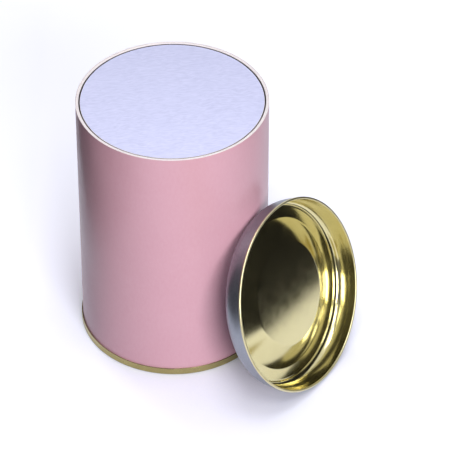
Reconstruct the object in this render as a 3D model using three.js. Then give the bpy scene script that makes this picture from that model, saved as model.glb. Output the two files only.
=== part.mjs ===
// A round cardboard tube box: a paper-wrapped board tube with a crimped tinplate end,
// a board seal set flush in its mouth, and its slip lid off and leaning on the tube.
// Millimetres, +Z up. The lid leans on the +X side of the tube.

import {
  Box3, DoubleSide, ExtrudeGeometry, Group, LatheGeometry, Mesh, MeshStandardMaterial, Path, Shape,
  Vector2,
} from "three";

// Overall sizes
const tubeDiameter = 100;
const canHeight = 146;

// Tube wall, from the outside in
const wrapThickness = 0.15;
const wrapLap = 8;
const glueLine = 0.05;
const boardWall = 1.45;

// Seal in the mouth of the tube
const sealThickness = 2;
const sealGap = 0.35;
const sealRecess = 0.3;
const sealEdgeRadius = 0.4;
const sealPaperThickness = 0.15;
const sealPaperMargin = 0.5;

// Tinplate end crimped round the bottom of the tube
const sheet = 0.3;
const crimpHeight = 4.35;
const crimpClearance = 0.3;
const crimpGroove = 0.12;
const footBend = 0.6;
const chuckClearance = 0.1;
const chuckHeight = 4.7;
const countersinkRadius = 0.8;
const endPanelHeight = 2.6;
const panelBend = 0.6;
const beadRise = 0.7;
const beadWidth = 1.6;
const beadInsets = [7, 16];

// Slip lid
const slipClearance = 0.2;
const lidHeight = 13.4;
const skirtHeight = 4.5;
const shoulderInset = 3.4;
const ledgeDrop = 1.25;
const ledgeWidth = 0.5;
const topBandInset = 4.3;
const creaseInset = 10.2;
const panelInset = 22.95;
const panelRecess = 5.85;
const dishBend = 0.7;
const curlDiameter = 1.3;
const curlSweep = 280;

// How the lid leans
const leanAngle = 20.8;
const leanGap = 0.3;

// How finely the round forms are cut
const roundSides = 60;
const bendSteps = 3;
const sinkSteps = 4;
const panelBendSteps = 2;
const wallSteps = 7;
const curlSteps = 8;

const degrees = Math.PI / 180;
const outerRadius = tubeDiameter / 2;
const boardOuter = outerRadius - wrapThickness - glueLine;
const boardInner = boardOuter - boardWall;
const boardBottom = sheet / 2 + footBend;
const boardLength = canHeight - boardBottom;

const wrapPaper = { name: "printed paper", color: 0xe0b4c3, roughness: 0.45, metalness: 0 };
const greyBoard = { name: "wound board", color: 0xe9dfe0, roughness: 0.9, metalness: 0 };
const sealPaper = { name: "lavender paper", color: 0xd2d5f8, roughness: 0.7, metalness: 0 };
const goldLacquer = { name: "gold lacquer on tinplate", color: 0xb1a35c, roughness: 0.25, metalness: 1 };
const plainTin = { name: "tinplate", color: 0x9ba0ab, roughness: 0.35, metalness: 1 };

function named(name, geometry, material) {
  const mesh = new Mesh(geometry, new MeshStandardMaterial({ ...material, side: DoubleSide }));
  mesh.name = name;
  return mesh;
}

// A closed outline of radius and height turned about Z.
function turned(outline) {
  const onAxis = outline[0].x === 0 && outline[outline.length - 1].x === 0;
  const closed = onAxis ? outline : [...outline, outline[0].clone()];
  const geometry = new LatheGeometry(closed, roundSides, Math.PI / 2);
  geometry.rotateX(Math.PI / 2);
  return geometry;
}

// Points on an arc, from one angle to another in degrees.
function arc(centreX, centreY, radius, from, to, steps) {
  const points = [];
  for (let step = 0; step <= steps; step += 1) {
    const angle = (from + ((to - from) * step) / steps) * degrees;
    points.push(new Vector2(centreX + radius * Math.cos(angle), centreY + radius * Math.sin(angle)));
  }
  return points;
}

// The outline of a bent sheet: its middle line, that starts on the axis, moved half a thickness
// to each side and joined at the free edge.
function sheetOutline(middle, thickness) {
  const side = (sign) => middle.map((point, index) => {
    const before = middle[Math.max(index - 1, 0)];
    const after = middle[Math.min(index + 1, middle.length - 1)];
    const into = index === 0 ? new Vector2(1, 0) : point.clone().sub(before).normalize();
    const out = index === middle.length - 1 ? into : after.clone().sub(point).normalize();
    const along = into.clone().add(out).normalize();
    const stretch = thickness / 2 / along.dot(out);
    return new Vector2(point.x - along.y * stretch * sign, point.y + along.x * stretch * sign);
  });
  const left = side(1);
  const right = side(-1);
  left[0].x = 0;
  right[0].x = 0;
  return [...right, ...left.reverse()];
}

function ring(inner, outer, bottom, top) {
  return turned([
    new Vector2(inner, bottom),
    new Vector2(outer, bottom),
    new Vector2(outer, top),
    new Vector2(inner, top),
  ]);
}

function boardTube() {
  return ring(boardInner, boardOuter, boardBottom, canHeight);
}

// The wrap goes once round the board and its last stretch lies on its first, at the back.
function paperWrap() {
  const lapSides = Math.round((wrapLap / (Math.PI * tubeDiameter)) * roundSides);
  const lapEnd = roundSides / 2;
  const lapEdge = 0.05;
  const onCircle = (side, radius) => {
    const angle = (side / roundSides) * 2 * Math.PI;
    return new Vector2(radius * Math.cos(angle), radius * Math.sin(angle));
  };
  const outline = [];
  const bore = [];
  for (let side = 0; side < roundSides; side += 1) {
    const lapped = side > lapEnd - lapSides && side <= lapEnd;
    outline.push(onCircle(side, lapped ? outerRadius + wrapThickness : outerRadius));
    if (side === lapEnd) outline.push(onCircle(side + lapEdge, outerRadius));
    bore.push(onCircle(side, outerRadius - wrapThickness));
  }
  const section = new Shape(outline);
  section.holes.push(new Path(bore));
  const geometry = new ExtrudeGeometry(section, { depth: boardLength, bevelEnabled: false });
  geometry.translate(0, 0, boardBottom);
  return geometry;
}

const sealRadius = boardInner - sealGap;
const sealPaperTop = canHeight - sealRecess;
const sealTop = sealPaperTop - sealPaperThickness - glueLine;

function sealDisc() {
  const bottom = sealTop - sealThickness;
  return turned([
    new Vector2(0, bottom),
    new Vector2(sealRadius, bottom),
    ...arc(sealRadius - sealEdgeRadius, sealTop - sealEdgeRadius, sealEdgeRadius, 0, 90, bendSteps),
    new Vector2(0, sealTop),
  ]);
}

function sealFace() {
  const radius = sealRadius - sealPaperMargin;
  return turned([
    new Vector2(0, sealTop + glueLine),
    new Vector2(radius, sealTop + glueLine),
    new Vector2(radius, sealPaperTop),
    new Vector2(0, sealPaperTop),
  ]);
}

// The end is one pressed sheet. From the axis: panel with two beads, countersink,
// chuck wall down inside the tube, foot, and the leg crimped onto the outside of the wrap.
function bottomEnd() {
  const chuckMiddle = boardInner - chuckClearance - sheet / 2;
  const legMiddle = outerRadius + wrapThickness + crimpClearance + sheet / 2;
  const sinkCentre = chuckMiddle - countersinkRadius;
  const sinkHeight = chuckHeight - sheet / 2 - countersinkRadius;
  const panelEdge = sinkCentre - countersinkRadius;
  const panelMiddle = endPanelHeight + sheet / 2;
  const footMiddle = sheet / 2;
  const legTop = crimpHeight - sheet / 2;
  const hem = crimpClearance / 2;
  const hemLength = 2 * hem;
  const beads = beadInsets.map((inset) => chuckMiddle - inset).reverse();
  const middle = [new Vector2(0, panelMiddle)];
  for (const centre of beads) {
    middle.push(
      new Vector2(centre - beadWidth, panelMiddle),
      new Vector2(centre - beadWidth / 2, panelMiddle + beadRise),
      new Vector2(centre + beadWidth / 2, panelMiddle + beadRise),
      new Vector2(centre + beadWidth, panelMiddle),
    );
  }
  middle.push(
    ...arc(panelEdge - panelBend, panelMiddle + panelBend, panelBend, 270, 360, panelBendSteps),
    ...arc(sinkCentre, sinkHeight, countersinkRadius, 180, 0, sinkSteps),
    ...arc(chuckMiddle + footBend, footMiddle + footBend, footBend, 180, 270, bendSteps),
    ...arc(legMiddle - footBend, footMiddle + footBend, footBend, 270, 360, bendSteps),
    new Vector2(legMiddle - crimpGroove, (footBend + legTop) / 2),
    new Vector2(legMiddle, legTop - hemLength),
    new Vector2(legMiddle - hem, legTop),
  );
  return turned(sheetOutline(middle, sheet));
}

// The lid is one drawn sheet, with its mouth at height 0 and its closed top at lidHeight. From the
// axis: a panel pressed deep towards the mouth, its sloped wall, the crease round it, the narrow
// band of the top, the ledge, the hollow side wall, the skirt and the curl at the mouth.
function lidMiddleLine() {
  const skirt = outerRadius + slipClearance + sheet / 2;
  const shoulder = skirt - shoulderInset;
  const topMiddle = lidHeight - sheet / 2;
  const ledge = topMiddle - ledgeDrop;
  const curl = curlDiameter / 2 - sheet / 2;
  const panelMiddle = topMiddle - panelRecess;
  const panelEdge = skirt - panelInset;
  const crease = skirt - creaseInset;
  const slope = new Vector2(crease - panelEdge, panelRecess).setLength(dishBend);
  const middle = [
    new Vector2(0, panelMiddle),
    new Vector2(panelEdge - dishBend, panelMiddle),
    new Vector2(panelEdge + slope.x, panelMiddle + slope.y),
    new Vector2(crease - slope.x, topMiddle - slope.y),
    new Vector2(crease + dishBend, topMiddle),
    new Vector2(skirt - topBandInset, topMiddle - sheet / 2),
    new Vector2(shoulder - ledgeWidth / 2, topMiddle - sheet),
    new Vector2(shoulder, ledge),
  ];
  for (let step = 1; step <= wallSteps; step += 1) {
    const angle = (step / wallSteps) * 90 * degrees;
    const radius = shoulder + (skirt - shoulder) * Math.sin(angle);
    middle.push(new Vector2(radius, skirtHeight + (ledge - skirtHeight) * Math.cos(angle)));
  }
  middle.push(...arc(skirt + curl, curlDiameter / 2, curl, 180, 180 + curlSweep, curlSteps));
  return middle;
}

// The lid leans with its foot on the floor and its closed end against the tube.
function leaningLid() {
  const outline = sheetOutline(lidMiddleLine(), sheet);
  const lean = leanAngle * degrees;
  const reach = (along, up) => Math.max(...outline.map((point) => point.x * along + point.y * up));
  const lid = named("slip_lid", turned(outline), plainTin);
  const leaned = new Group();
  leaned.rotation.y = -(Math.PI / 2 + lean);
  leaned.position.x = outerRadius + leanGap + reach(Math.sin(lean), Math.cos(lean));
  leaned.position.z = reach(Math.cos(lean), Math.sin(lean));
  leaned.add(lid);
  return leaned;
}

const box = new Group();
box.add(
  named("board_tube", boardTube(), greyBoard),
  named("paper_wrap", paperWrap(), wrapPaper),
  named("seal_disc", sealDisc(), greyBoard),
  named("seal_paper", sealFace(), sealPaper),
  named("bottom_end", bottomEnd(), goldLacquer),
  leaningLid(),
);

// The origin is the middle of the ground that the tube and the lid cover together.
const covered = new Box3().setFromObject(box, true);
box.position.set(-(covered.min.x + covered.max.x) / 2, -(covered.min.y + covered.max.y) / 2, -covered.min.z);

export default box;
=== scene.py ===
# A round cardboard tube box: a board tube in a paper wrap, with a crimped tin end, a board seal set
# flush in its mouth, and its tin slip lid off and leaning on its side.
# Lengths are millimetres in the names below and metres in every mesh.
import math

import bpy
from mathutils import Matrix, Vector


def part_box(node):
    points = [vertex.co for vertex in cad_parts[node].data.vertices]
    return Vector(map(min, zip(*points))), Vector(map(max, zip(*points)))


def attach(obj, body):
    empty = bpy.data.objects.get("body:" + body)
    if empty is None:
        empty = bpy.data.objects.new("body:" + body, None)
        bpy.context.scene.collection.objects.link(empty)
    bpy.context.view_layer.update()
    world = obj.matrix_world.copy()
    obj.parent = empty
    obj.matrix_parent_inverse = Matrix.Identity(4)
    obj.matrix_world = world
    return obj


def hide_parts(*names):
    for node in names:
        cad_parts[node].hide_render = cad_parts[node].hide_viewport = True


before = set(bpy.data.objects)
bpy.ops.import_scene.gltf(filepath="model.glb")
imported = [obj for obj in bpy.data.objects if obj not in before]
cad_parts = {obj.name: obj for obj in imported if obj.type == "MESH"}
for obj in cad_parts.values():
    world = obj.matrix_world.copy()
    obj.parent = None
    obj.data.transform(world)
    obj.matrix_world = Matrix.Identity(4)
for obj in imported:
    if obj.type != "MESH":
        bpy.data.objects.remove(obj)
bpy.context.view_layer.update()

MM = 0.001

# How finely the round forms are cut
ROUND_SIDES = 288
BEND_STEPS = 8
SOFT_STEPS = 5
EDGE_STEPS = 3
MOUTH_STEPS = 5
WALL_STEPS = 28
CURL_STEPS = 24
SHARP_EDGE = math.radians(50)

# Board and paper
BOARD_WALL = 1.45
BOARD_EDGE = 0.18
MOUTH_EASE = 0.42
PAPER = 0.15
PAPER_LAP = 8.0
LAP_CLIMB = 1.2
SEAL_EDGE = 0.2
SEAL_TAPER = 0.3
SEAL_TAPER_HEIGHT = 1.4
SEAL_PAPER_EDGE = 0.05
GRAIN_TURN = math.radians(-40)

# Crimped tin end
SHEET = 0.3
CRIMP_HEIGHT = 4.35
CRIMP_CLEARANCE = 0.3
CRIMP_GROOVE = 0.22
GROOVE_BEND = 0.8
HEM_BEND = 0.3
FOOT_BEND = 0.6
CHUCK_CLEARANCE = 0.1
CHUCK_HEIGHT = 4.7
COUNTERSINK = 0.8
END_PANEL_HEIGHT = 2.6
PANEL_BEND = 0.6
BEAD_RISE = 0.7
BEAD_WIDTH = 1.6
BEAD_BEND = 0.5
BEAD_INSETS = (16.0, 7.0)

# Slip lid
SLIP_CLEARANCE = 0.2
LID_HEIGHT = 13.4
SKIRT_HEIGHT = 4.5
SHOULDER_INSET = 3.4
LEDGE_DROP = 1.25
LEDGE_WIDTH = 0.5
LEDGE_TOP_BEND = 0.12
LEDGE_FOOT_BEND = 0.18
TOP_BAND_INSET = 4.3
TOP_BAND_BEND = 0.6
CREASE_INSET = 10.2
PANEL_INSET = 22.95
PANEL_RECESS = 5.85
DISH_BEND = 0.7
CURL_DIAMETER = 1.3
CURL_SWEEP = 280
LEAN = math.radians(20.8)

# The camera's place and aim, in metres, fitted to the outlines in the photograph
CAMERA_PLACE = Vector((0.6816, -1.0497, 1.1289))
CAMERA_AIM = Vector((-0.0004, 0.0147, 0.0615))
CAMERA_LENS = 248.6
CAMERA_SENSOR = 36

# The studio, its lengths in metres
FLOOR_REACH = 7.0
FLOOR_SIDES = 96
FLOOR_GLOW = 0.48
SHADE_REACH = 0.08
SHADE_POWER = 1.5
LIT_POINT = Vector((0, 0, 0.06))
LAMP_DISTANCE = 1.45
CARD_LIFT = 0.002
FLOOR_CARD_REACH = 0.6

# Most of a noise's values lie between these two
NOISE_SPREAD = {"From Min": 0.3, "From Max": 0.7}

tube_low, tube_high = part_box("board_tube")
wrap_low, wrap_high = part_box("paper_wrap")
lid_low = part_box("slip_lid")[0]
TUBE_AXIS = (tube_low + tube_high) / 2
TUBE_AXIS.z = 0
BOARD_RADIUS = (tube_high.y - tube_low.y) / 2 / MM
WRAP_RADIUS = (wrap_high.y - wrap_low.y) / 2 / MM
BOARD_BORE = BOARD_RADIUS - BOARD_WALL
MOUTH = tube_high.z / MM
FOOT = tube_low.z / MM


def arc(radius, height, bend, start, end, steps=BEND_STEPS):
    """Points of an arc round a middle, from one angle to another in degrees."""
    points = []
    for step in range(steps + 1):
        angle = math.radians(start + (end - start) * step / steps)
        points.append((radius + bend * math.cos(angle), height + bend * math.sin(angle)))
    return points


def softened(corners):
    """A line through (radius, height, bend) corners, each rounded by its bend."""
    points = []
    for index, (radius, height, bend) in enumerate(corners):
        here = Vector((radius, height))
        if index in (0, len(corners) - 1) or bend == 0:
            points.append((radius, height))
            continue
        before = Vector(corners[index - 1][:2]) - here
        after = Vector(corners[index + 1][:2]) - here
        # A bend takes just under half of each side, so that two of them never meet
        reach = min(bend, before.length * 0.49, after.length * 0.49)
        start = here + before.normalized() * reach
        end = here + after.normalized() * reach
        for step in range(SOFT_STEPS + 1):
            t = step / SOFT_STEPS
            point = start * (1 - t) ** 2 + here * 2 * t * (1 - t) + end * t ** 2
            points.append((point.x, point.y))
    return points


def sheet_sides(middle, thickness):
    """The two faces of a bent sheet, half a thickness to each side of its middle line."""
    sides = ([], [])
    last = len(middle) - 1
    for index, (radius, height) in enumerate(middle):
        before = Vector(middle[max(index - 1, 0)])
        after = Vector(middle[min(index + 1, last)])
        here = Vector((radius, height))
        into = (here - before).normalized() if index else Vector((1, 0))
        out = (after - here).normalized() if index < last else into
        along = (into + out).normalized()
        stretch = thickness / 2 / along.dot(out)
        for side, sign in zip(sides, (1, -1)):
            side.append((max(radius - along.y * stretch * sign, 0), height + along.x * stretch * sign))
    for side in sides:
        side[0] = (0, side[0][1])
    return sides


def turned(name, outline, materials, kind_of=None, closed=False, place=None):
    """A piece turned about its axis from an outline of radius and height, in millimetres.
    kind_of gives the material's number for each stretch of the outline."""
    vertices, faces, kinds, rings = [], [], [], []
    for radius, height in outline:
        if radius == 0:
            rings.append([len(vertices)] * ROUND_SIDES)
            vertices.append((0, 0, height * MM))
            continue
        rings.append(list(range(len(vertices), len(vertices) + ROUND_SIDES)))
        for side in range(ROUND_SIDES):
            angle = 2 * math.pi * side / ROUND_SIDES
            vertices.append((radius * MM * math.cos(angle), radius * MM * math.sin(angle), height * MM))
    pairs = list(zip(rings, rings[1:]))
    if closed:
        pairs.append((rings[-1], rings[0]))
    for stretch, (low, high) in enumerate(pairs):
        for side in range(ROUND_SIDES):
            after = (side + 1) % ROUND_SIDES
            corners = [low[side], low[after], high[after], high[side]]
            face = list(dict.fromkeys(corners))
            if len(face) > 2:
                faces.append(face)
                kinds.append(kind_of[stretch] if kind_of else 0)
    return piece(name, vertices, faces, kinds, materials, place or Matrix.Translation(TUBE_AXIS))


def piece(name, vertices, faces, kinds, materials, place):
    """A smooth mesh piece with its materials, set in its place in the frame."""
    mesh = bpy.data.meshes.new(name)
    mesh.from_pydata(vertices, [], faces)
    for material in materials:
        mesh.materials.append(material)
    mesh.polygons.foreach_set("material_index", kinds)
    mesh.transform(place)
    mesh.shade_smooth()
    mesh.set_sharp_from_angle(angle=SHARP_EDGE)
    made = bpy.data.objects.new(name, mesh)
    bpy.context.scene.collection.objects.link(made)
    return made


def linear(colour):
    """An sRGB hex colour as linear red, green, blue and full alpha."""
    values = []
    for start in (1, 3, 5):
        value = int(colour[start:start + 2], 16) / 255
        values.append(value / 12.92 if value <= 0.04045 else ((value + 0.055) / 1.055) ** 2.4)
    return (*values, 1)


def feed(tree, node, inputs):
    """Gives a node's inputs what they take: a value, an output, or a node's first output."""
    for socket, value in inputs.items():
        if isinstance(value, bpy.types.Node):
            value = value.outputs[0]
        if isinstance(value, bpy.types.NodeSocket):
            tree.links.new(value, node.inputs[socket])
        else:
            node.inputs[socket].default_value = value


def add(tree, kind, inputs=None, **settings):
    """A new node, with its settings and what feeds its inputs."""
    made = tree.nodes.new(kind)
    for name, value in settings.items():
        setattr(made, name, value)
    feed(tree, made, inputs or {})
    return made


def finish_of(name):
    """A new material, with its node tree, its shader and the place on the piece in metres."""
    material = bpy.data.materials.new(name)
    material.use_nodes = True
    tree = material.node_tree
    place = add(tree, "ShaderNodeTexCoord").outputs["Object"]
    return material, tree, tree.nodes["Principled BSDF"], place


def marks(tree, place, width, detail=2, stretch=(1, 1, 1), turn=(0, 0, 0)):
    """Soft random marks about width millimetres across, turned and then drawn out by stretch."""
    held = add(tree, "ShaderNodeMapping", {"Vector": place, "Rotation": turn})
    drawn = add(tree, "ShaderNodeMapping", {"Vector": held, "Scale": [1 / amount for amount in stretch]})
    noise = add(tree, "ShaderNodeTexNoise", {
        "Vector": drawn, "Scale": 1 / (width * MM), "Detail": detail})
    return noise.outputs["Fac"]


def looked_at(tree):
    """1 for a ray from the camera, or out of a mirror or glass, and 0 for light that bounces."""
    ray = add(tree, "ShaderNodeLightPath").outputs
    seen = add(tree, "ShaderNodeMath", {0: ray["Is Camera Ray"], 1: ray["Is Glossy Ray"]}, operation="ADD")
    return add(tree, "ShaderNodeMath", {0: seen, 1: ray["Is Transmission Ray"]}, operation="ADD")


def satin_printed_paper():
    """Coated paper, printed in one flat pink and satin varnished. The eye sees a soft wide glow where
    it faces the light, a pale sheen at its grazing edges, and a very faint mottle."""
    material, tree, shader, place = finish_of("satin_printed_paper")
    # Fibres are about 0.05 mm wide, and are drawn at 1.2 mm so that they show
    fibre = marks(tree, place, 1.2, 3, (1, 1, 2))
    patch = marks(tree, place, 24)
    ink = add(tree, "ShaderNodeMixRGB", {
        "Fac": patch, "Color1": linear("#e8aebf"), "Color2": linear("#edb7c7")})
    thin_ink = add(tree, "ShaderNodeMapRange", {"Value": fibre, **NOISE_SPREAD, "To Max": 0.35})
    printed = add(tree, "ShaderNodeMixRGB", {
        "Fac": thin_ink, "Color1": ink, "Color2": linear("#f0c0ce")})
    varnish = add(tree, "ShaderNodeMapRange", {
        "Value": patch, **NOISE_SPREAD, "To Min": 0.40, "To Max": 0.47})
    waves = add(tree, "ShaderNodeBump", {"Height": patch, "Distance": 0.25 * MM, "Strength": 1.0})
    tooth = add(tree, "ShaderNodeBump", {
        "Height": fibre, "Distance": 0.006 * MM, "Strength": 1.0, "Normal": waves})
    feed(tree, shader, {
        "Base Color": printed,
        "Roughness": varnish,
        "Normal": tooth,
        "IOR": 1.5,
        "Coat Weight": 0.3,
        "Coat Roughness": 0.22,
    })
    return material


def lavender_paper():
    """Uncoated dyed paper, calendered and glued flat. The eye sees an even matt face with faint
    cloudy streaks along the paper's grain."""
    material, tree, shader, place = finish_of("lavender_paper")
    # Grain streaks about 1 mm wide, that wander a little. The wander has 60 swings to a metre
    wander = add(tree, "ShaderNodeTexNoise", {"Vector": place, "Scale": 60, "Detail": 2})
    bent = add(tree, "ShaderNodeMixRGB", {
        "Fac": 0.008, "Color1": place, "Color2": wander.outputs["Color"]})
    grain = marks(tree, bent, 1.1, 5, (4, 1, 1), (0, 0, GRAIN_TURN))
    cloud = marks(tree, place, 14, 3)
    streaks = add(tree, "ShaderNodeMapRange", {"Value": grain, **NOISE_SPREAD})
    dye = add(tree, "ShaderNodeMixRGB", {
        "Fac": streaks, "Color1": linear("#c9ccef"), "Color2": linear("#dbddfe")})
    pale = add(tree, "ShaderNodeMapRange", {"Value": cloud, **NOISE_SPREAD, "To Max": 0.4})
    dyed = add(tree, "ShaderNodeMixRGB", {"Fac": pale, "Color1": dye, "Color2": linear("#d6d9fb")})
    waves = add(tree, "ShaderNodeBump", {"Height": cloud, "Distance": 0.05 * MM, "Strength": 1.0})
    tooth = add(tree, "ShaderNodeBump", {
        "Height": grain, "Distance": 0.01 * MM, "Strength": 1.0, "Normal": waves})
    feed(tree, shader, {"Base Color": dyed, "Normal": tooth, "Roughness": 0.75, "IOR": 1.5})
    return material


def lined_board():
    """White-lined board, knife cut. The eye sees a pale, dry, slightly furry edge with faint plies."""
    material, tree, shader, place = finish_of("lined_board")
    # Cut fibres, drawn at 0.5 mm, and plies about 0.35 mm thick
    fur = marks(tree, place, 0.5, 3)
    ply = marks(tree, place, 3.0, 2, (1, 1, 0.1))
    cut = add(tree, "ShaderNodeMapRange", {"Value": fur, **NOISE_SPREAD})
    fibres = add(tree, "ShaderNodeMixRGB", {
        "Fac": cut, "Color1": linear("#efe6e8"), "Color2": linear("#f8f3f4")})
    glue_lines = add(tree, "ShaderNodeMapRange", {"Value": ply, **NOISE_SPREAD, "To Max": 0.4})
    plies = add(tree, "ShaderNodeMixRGB", {
        "Fac": glue_lines, "Color1": fibres, "Color2": linear("#e6dadc")})
    nap = add(tree, "ShaderNodeBump", {"Height": fur, "Distance": 0.05 * MM, "Strength": 1.0})
    feed(tree, shader, {"Base Color": plies, "Normal": nap, "Roughness": 0.9, "IOR": 1.5})
    return material


def chipboard_with_painted_gap_shade():
    """Unlined inner plies of recycled board. The eye sees a dull warm grey with darker flecks. Its grey is
    dark partly as painted shade, so that the narrow gap round the seal stays dark."""
    material, tree, shader, place = finish_of("chipboard_with_painted_gap_shade")
    # Flecks of old print and bark about 0.8 mm across
    fleck = marks(tree, place, 0.8, 4)
    spread = add(tree, "ShaderNodeMapRange", {"Value": fleck, **NOISE_SPREAD})
    # A dark warm grey, darkened in part as painted shade for the gap round the seal
    pulp_and_gap_shade = add(tree, "ShaderNodeMixRGB", {
        "Fac": spread, "Color1": linear("#554b4a"), "Color2": linear("#71676a")})
    nap = add(tree, "ShaderNodeBump", {"Height": fleck, "Distance": 0.04 * MM, "Strength": 1.0})
    feed(tree, shader, {"Base Color": pulp_and_gap_shade, "Normal": nap, "Roughness": 0.9, "IOR": 1.5})
    return material


def gold_lacquer(name, thin, thick, roughness):
    """Clear gold stoving lacquer over bright tinplate. The eye sees the metal's mirror stained a
    greenish gold, deeper where light bounces twice, with soft edged reflections."""
    material, tree, shader, place = finish_of(name)
    # Lacquer flow marks about 6 mm wide, and rolling lines of the plate drawn 0.5 mm wide
    flow = marks(tree, place, 6)
    rolled = marks(tree, place, 0.5, 2, (1, 30, 1), (0, LEAN, 0))
    stain = add(tree, "ShaderNodeMixRGB", {
        "Fac": flow, "Color1": linear(thick), "Color2": linear(thin)})
    gloss = add(tree, "ShaderNodeMapRange", {
        "Value": flow, **NOISE_SPREAD, "To Min": roughness, "To Max": roughness + 0.04})
    lines = add(tree, "ShaderNodeBump", {"Height": rolled, "Distance": 0.0008 * MM, "Strength": 1.0})
    feed(tree, shader, {"Base Color": stain, "Roughness": gloss, "Normal": lines, "Metallic": 1.0})
    return material


def bright_tinplate():
    """Electrolytic tinplate, rolled and flow brightened. The eye sees a blue-grey metal with a soft
    blurred mirror and faint straight rolling lines."""
    material, tree, shader, place = finish_of("bright_tinplate")
    # Rolling lines are some hundredths of a millimetre wide, and are drawn at 0.6 mm
    rolled = marks(tree, place, 0.6, 3, (1, 30, 1), (0, LEAN, 0))
    cloud = marks(tree, place, 9)
    shade = add(tree, "ShaderNodeMapRange", {"Value": rolled, **NOISE_SPREAD})
    plate = add(tree, "ShaderNodeMixRGB", {
        "Fac": shade, "Color1": linear("#8b8f96"), "Color2": linear("#9b9fa6")})
    gloss = add(tree, "ShaderNodeMapRange", {
        "Value": cloud, **NOISE_SPREAD, "To Min": 0.36, "To Max": 0.42})
    lines = add(tree, "ShaderNodeBump", {"Height": rolled, "Distance": 0.002 * MM, "Strength": 1.0})
    feed(tree, shader, {"Base Color": plate, "Roughness": gloss, "Normal": lines, "Metallic": 1.0})
    return material


PINK, LAVENDER = satin_printed_paper(), lavender_paper()
BOARD, CHIPBOARD_WITH_GAP_SHADE = lined_board(), chipboard_with_painted_gap_shade()
TIN = bright_tinplate()
GOLD = gold_lacquer("gold_lacquer", "#dbd2a1", "#d3ca96", 0.14)
# The curl is given a paler gold and a broader shine than the rest of the lid
CURLED_GOLD = gold_lacquer("curl_gold_lacquer", "#e2dab0", "#dad1a4", 0.34)
# The end's gold is darker and browner than the lid's as painted shade, standing for the dark floor by its
# foot that it mirrors; its shine is duller
END_GOLD_WITH_PAINTED_SHADE = gold_lacquer("end_gold_lacquer_painted_shade", "#b3a876", "#9a8f5c", 0.24)


def hand_over(made, node):
    """Lets a piece stand for its CAD node, on the one body."""
    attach(made, "root")
    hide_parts(node)


def build_board_tube():
    """The wound tube, open through, with its cut edges a little broken."""
    inner, outer, edge = BOARD_BORE, BOARD_RADIUS, BOARD_EDGE
    outline = [
        *arc(inner + edge, FOOT + edge, edge, 180, 270, EDGE_STEPS),
        *arc(outer - edge, FOOT + edge, edge, 270, 360, EDGE_STEPS),
        *arc(outer - edge, MOUTH - edge, edge, 0, 90, EDGE_STEPS),
        *arc(inner + MOUTH_EASE, MOUTH - MOUTH_EASE, MOUTH_EASE, 90, 180, MOUTH_STEPS),
    ]
    # The last stretch is the bore
    kind_of = [0] * (len(outline) - 1) + [1]
    made = turned("wound_board_tube", outline, [BOARD, CHIPBOARD_WITH_GAP_SHADE], kind_of, closed=True)
    hand_over(made, "board_tube")


def build_paper_wrap():
    """The wrap goes once round the board, and its last stretch lies on its first at the back."""
    inner, outer = WRAP_RADIUS - PAPER, WRAP_RADIUS
    sides = 2 * ROUND_SIDES
    lap = PAPER_LAP / WRAP_RADIUS
    climb = LAP_CLIMB / WRAP_RADIUS
    section = []
    for side in range(sides):
        angle = 2 * math.pi * side / sides
        past = math.pi - angle
        lift = 0.0
        if 0 <= past <= lap:
            lift = PAPER
        elif lap < past < lap + climb:
            lift = PAPER * (1 - (past - lap) / climb)
        section.append((angle, outer + lift))
    vertices = []
    for height in (FOOT, MOUTH):
        for angle, radius in section:
            vertices.append((radius * MM * math.cos(angle), radius * MM * math.sin(angle), height * MM))
        for angle, radius in section:
            vertices.append((inner * MM * math.cos(angle), inner * MM * math.sin(angle), height * MM))
    rings = [list(range(start * sides, (start + 1) * sides)) for start in range(4)]
    low_out, low_in, high_out, high_in = rings
    faces = []
    for lower, upper in ((low_out, high_out), (high_in, low_in), (high_out, high_in), (low_in, low_out)):
        for side in range(sides):
            after = (side + 1) % sides
            faces.append([lower[side], lower[after], upper[after], upper[side]])
    # The print is on the outside only
    kinds = [0] * sides + [1] * (len(faces) - sides)
    place = Matrix.Translation(TUBE_AXIS)
    made = piece("printed_paper_wrap", vertices, faces, kinds, [PINK, BOARD], place)
    hand_over(made, "paper_wrap")


def build_seal():
    """The board disc in the mouth, punched with a slightly rolled edge, and its paper face."""
    low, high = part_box("seal_disc")
    radius, bottom, top = (high.y - low.y) / 2 / MM, low.z / MM, high.z / MM
    rolled = radius - SEAL_TAPER - SEAL_EDGE
    disc = [
        (0, bottom),
        (radius, bottom),
        (radius, top - SEAL_TAPER_HEIGHT),
        *arc(rolled, top - SEAL_EDGE, SEAL_EDGE, 0, 90),
        (0, top),
    ]
    # The underside, the side, its taper and the lower half of the rolled edge are unlined
    unlined = 3 + BEND_STEPS // 2
    kind_of = [1] * unlined + [0] * (len(disc) - 1 - unlined)
    hand_over(turned("seal_board", disc, [BOARD, CHIPBOARD_WITH_GAP_SHADE], kind_of), "seal_disc")
    low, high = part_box("seal_paper")
    radius, bottom, top = (high.y - low.y) / 2 / MM, low.z / MM, high.z / MM
    edge = SEAL_PAPER_EDGE
    face = [
        (0, bottom),
        (radius, bottom),
        *arc(radius - edge, top - edge, edge, 0, 90, EDGE_STEPS),
        (0, top),
    ]
    hand_over(turned("seal_paper_face", face, [LAVENDER]), "seal_paper")


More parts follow.
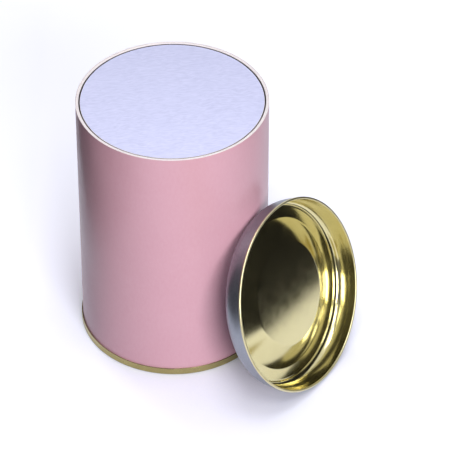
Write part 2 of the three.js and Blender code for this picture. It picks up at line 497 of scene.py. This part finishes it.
def build_bottom_end():
    """One pressed sheet: a beaded panel, the countersink, the chuck wall down inside the tube, the
    foot, and the leg crimped onto the outside of the wrap."""
    chuck = BOARD_BORE - CHUCK_CLEARANCE - SHEET / 2
    leg = WRAP_RADIUS + PAPER + CRIMP_CLEARANCE + SHEET / 2
    sink = chuck - COUNTERSINK
    sink_height = CHUCK_HEIGHT - SHEET / 2 - COUNTERSINK
    panel_edge = sink - COUNTERSINK
    panel = END_PANEL_HEIGHT + SHEET / 2
    foot = SHEET / 2
    leg_top = CRIMP_HEIGHT - SHEET / 2
    hem = CRIMP_CLEARANCE / 2
    corners = [(0, panel, 0)]
    for inset in BEAD_INSETS:
        centre = chuck - inset
        corners += [
            (centre - BEAD_WIDTH, panel, BEAD_BEND),
            (centre - BEAD_WIDTH / 2, panel + BEAD_RISE, BEAD_BEND),
            (centre + BEAD_WIDTH / 2, panel + BEAD_RISE, BEAD_BEND),
            (centre + BEAD_WIDTH, panel, BEAD_BEND),
        ]
    middle = softened([*corners, (panel_edge - PANEL_BEND, panel, 0)])
    middle += [
        *arc(panel_edge - PANEL_BEND, panel + PANEL_BEND, PANEL_BEND, 270, 360)[1:],
        *arc(sink, sink_height, COUNTERSINK, 180, 0),
        *arc(chuck + FOOT_BEND, foot + FOOT_BEND, FOOT_BEND, 180, 270),
        *arc(leg - FOOT_BEND, foot + FOOT_BEND, FOOT_BEND, 270, 360),
    ]
    top = [
        (leg, foot + FOOT_BEND, 0),
        (leg - CRIMP_GROOVE, (FOOT_BEND + leg_top) / 2, GROOVE_BEND),
        (leg, leg_top - 2 * hem, HEM_BEND),
        (leg - hem, leg_top, 0),
    ]
    middle += softened(top)[1:]
    upper, lower = sheet_sides(middle, SHEET)
    outline = [*lower, *reversed(upper)]
    hand_over(turned("crimped_tin_end", outline, [END_GOLD_WITH_PAINTED_SHADE]), "bottom_end")


def build_slip_lid():
    """One drawn sheet, gold inside and plain outside. From the axis: the panel pressed deep towards
    the mouth, its sloped wall, the crease, the narrow top band, the ledge, the hollow side wall, the
    skirt and the curl."""
    skirt = WRAP_RADIUS + SLIP_CLEARANCE + SHEET / 2
    shoulder = skirt - SHOULDER_INSET
    top = LID_HEIGHT - SHEET / 2
    ledge = top - LEDGE_DROP
    curl = CURL_DIAMETER / 2 - SHEET / 2
    panel = top - PANEL_RECESS
    panel_edge = skirt - PANEL_INSET
    crease = skirt - CREASE_INSET
    # The last corner only leads the ledge's foot into the side wall, and is dropped
    middle = softened([
        (0, panel, 0),
        (panel_edge, panel, DISH_BEND),
        (crease, top, DISH_BEND),
        (skirt - TOP_BAND_INSET, top - SHEET / 2, TOP_BAND_BEND),
        (shoulder - LEDGE_WIDTH / 2, top - SHEET, LEDGE_TOP_BEND),
        (shoulder, ledge, LEDGE_FOOT_BEND),
        (shoulder + LEDGE_WIDTH, ledge, 0),
    ])[:-1]
    # The side wall is a quarter of an oval, and its first steps are taken up by the ledge's foot
    for step in range(3, WALL_STEPS + 1):
        angle = step / WALL_STEPS * math.pi / 2
        radius = shoulder + (skirt - shoulder) * math.sin(angle)
        middle.append((radius, SKIRT_HEIGHT + (ledge - SKIRT_HEIGHT) * math.cos(angle)))
    uncurled = len(middle)
    middle += arc(skirt + curl, CURL_DIAMETER / 2, curl, 180, 180 + CURL_SWEEP, CURL_STEPS)
    upper, lower = sheet_sides(middle, SHEET)
    outline = [*lower, *reversed(upper)]
    kind_of = [0] * uncurled + [2] * (len(lower) - uncurled) + [1] * (len(upper) - 1)
    place = Matrix.Rotation(-(math.pi / 2 + LEAN), 4, "Y")
    made = turned("drawn_tin_lid", outline, [GOLD, TIN, CURLED_GOLD], kind_of, place=place)
    lowest = Vector([min(vertex.co[axis] for vertex in made.data.vertices) for axis in range(3)])
    to_seat = Vector((lid_low.x - lowest.x, lid_low.y - lowest.y, -lowest.z))
    made.data.transform(Matrix.Translation(to_seat))
    hand_over(made, "slip_lid")


def build_stage():
    """A plain pale floor, with painted contact shade near the box."""
    mesh = bpy.data.meshes.new("floor")
    rim = []
    for side in range(FLOOR_SIDES):
        angle = 2 * math.pi * side / FLOOR_SIDES
        rim.append((FLOOR_REACH * math.cos(angle), FLOOR_REACH * math.sin(angle), 0))
    mesh.from_pydata(rim, [], [list(range(FLOOR_SIDES))])
    material, tree, shader, place = finish_of("white_studio_paper")
    seen = looked_at(tree)
    # Soft clouds in the paper about 60 mm across
    paper = add(tree, "ShaderNodeMixRGB", {
        "Fac": marks(tree, place, 60), "Color1": linear("#dcddec"), "Color2": linear("#e0e1ef")})
    # Bounced light meets a greyer floor, and so the sides of the tube stay dark
    tone = add(tree, "ShaderNodeMixRGB", {"Fac": seen, "Color1": linear("#777883"), "Color2": paper})
    # The glow stands for an evenly lit floor. Ambient occlusion, raised to a power, fades it where
    # something stands close: painted contact shade
    open_air = add(tree, "ShaderNodeAmbientOcclusion", {"Distance": SHADE_REACH}, samples=8).outputs["AO"]
    lit = add(tree, "ShaderNodeMath", {0: open_air, 1: SHADE_POWER}, operation="POWER")
    shown = add(tree, "ShaderNodeMath", {0: seen, 1: lit}, operation="MULTIPLY")
    glow = add(tree, "ShaderNodeMath", {0: shown, 1: FLOOR_GLOW}, operation="MULTIPLY")
    feed(tree, shader, {
        "Base Color": tone,
        "Roughness": 0.9,
        "Emission Color": linear("#f4f5ff"),
        "Emission Strength": glow,
    })
    mesh.materials.append(material)
    floor = bpy.data.objects.new("floor", mesh)
    bpy.context.scene.collection.objects.link(floor)


VIEW = (CAMERA_AIM - CAMERA_PLACE).normalized()
RIGHT = VIEW.cross(Vector((0, 0, 1))).normalized()
NEAR = Vector((-VIEW.x, -VIEW.y, 0)).normalized()


def studio_point(right, near, up):
    """A place given by metres to the camera's right, towards the camera, and up from the floor."""
    return RIGHT * right + NEAR * near + Vector((0, 0, up))


def add_card(name, corners, dark, light, mirrored):
    """A matt card out of the picture, that shades nothing. Either the metal mirrors it, or it takes
    away light that the floor would throw back onto the paper."""
    mesh = bpy.data.meshes.new(name)
    mesh.from_pydata(corners, [], [[0, 1, 2, 3]])
    material, tree, shader, place = finish_of("matt_card")
    # Uneven paint, in patches about 20 mm across
    paint = add(tree, "ShaderNodeMixRGB", {
        "Fac": marks(tree, place, 20), "Color1": linear(dark), "Color2": linear(light)})
    feed(tree, shader, {"Base Color": paint, "Roughness": 0.9})
    mesh.materials.append(material)
    card = bpy.data.objects.new(name, mesh)
    bpy.context.scene.collection.objects.link(card)
    card.visible_camera = False
    card.visible_shadow = False
    card.visible_glossy = mirrored
    card.visible_diffuse = not mirrored


def add_flag(name, middle, along, width, height, light="#0d0d0e"):
    """A standing card for the metal to mirror."""
    half, up = along * width / 2, Vector((0, 0, height))
    corners = [middle - half, middle + half, middle + half + up, middle - half + up]
    add_card(name, corners, "#08080a", light, True)


def add_floor_card(name, left, right):
    """A card lying beside the box, so that little light comes back from the floor there."""
    reach = FLOOR_CARD_REACH
    places = ((left, -reach), (right, -reach), (right, reach), (left, reach))
    corners = [studio_point(across, near, CARD_LIFT) for across, near in places]
    add_card(name, corners, "#08080a", "#0d0d0e", False)


def add_reflector():
    """A gold card on the floor before the lid, that the lid's side wall mirrors: a painted reflection that
    stands for the gold light bouncing inside the lid. It is narrow at the lid's foot and widens towards
    the camera."""
    places = ((0.05, 0.09), (0.105, 0.09), (0.20, 1.5), (-0.35, 1.5))
    corners = [studio_point(across, near, CARD_LIFT) for across, near in places]
    add_card("gold_reflector", corners, "#b9a962", "#c9ba74", True)


def add_softbox(name, bearing, height, side, power):
    """A square soft light, so many degrees right of the camera and above the floor."""
    across, above = math.radians(bearing), math.radians(height)
    level = LAMP_DISTANCE * math.cos(above)
    rise = LAMP_DISTANCE * math.sin(above)
    place = LIT_POINT + studio_point(level * math.sin(across), level * math.cos(across), rise)
    lamp = bpy.data.lights.new(name, "AREA")
    lamp.shape = "SQUARE"
    lamp.size = side
    lamp.energy = power
    made = bpy.data.objects.new(name, lamp)
    made.location = place
    made.rotation_euler = (LIT_POINT - place).to_track_quat("-Z", "Y").to_euler()
    made.visible_camera = False
    bpy.context.scene.collection.objects.link(made)


def build_world():
    """An even pale surround, that gives little light of its own."""
    world = bpy.data.worlds.new("studio")
    world.use_nodes = True
    bpy.context.scene.world = world
    tree = world.node_tree
    level = add(tree, "ShaderNodeMapRange", {"Value": looked_at(tree), "To Min": 0.02, "To Max": 1.0})
    feed(tree, tree.nodes["Background"], {"Color": linear("#f2f3fb"), "Strength": level})


def build_lights():
    """Soft lights, with cards for the metal to mirror and cards that keep the floor's light away."""
    add_softbox("key", bearing=18, height=27, side=0.6, power=14.5)
    add_softbox("high_front", bearing=10, height=58, side=0.4, power=5)
    add_softbox("overhead", bearing=0, height=85, side=0.5, power=6)
    add_softbox("back", bearing=-150, height=35, side=0.5, power=7)
    add_flag("left_flag", studio_point(-0.152, 0.3, 0), NEAR, width=1.2, height=0.70, light="#8c8c92")
    add_flag("right_flag", studio_point(0.19, -0.1, 0), NEAR, width=0.8, height=0.22)
    add_flag("camera_flag", studio_point(-0.35, 1.6, 0), RIGHT, width=1.6, height=1.9)
    add_floor_card("left_floor_card", left=-0.9, right=-0.10)
    add_floor_card("right_floor_card", left=0.10, right=0.9)
    add_reflector()


def build_camera():
    """The photograph's view."""
    camera = bpy.data.cameras.new("camera")
    camera.lens = CAMERA_LENS
    camera.sensor_width = CAMERA_SENSOR
    camera.clip_start, camera.clip_end = 0.05, 30
    made = bpy.data.objects.new("camera", camera)
    made.location = CAMERA_PLACE
    made.rotation_euler = VIEW.to_track_quat("-Z", "Y").to_euler()
    bpy.context.scene.collection.objects.link(made)
    bpy.context.scene.camera = made


build_board_tube()
build_paper_wrap()
build_seal()
build_bottom_end()
build_slip_lid()
build_stage()
build_world()
build_camera()
build_lights()
bpy.context.scene.view_settings.view_transform = "Standard"
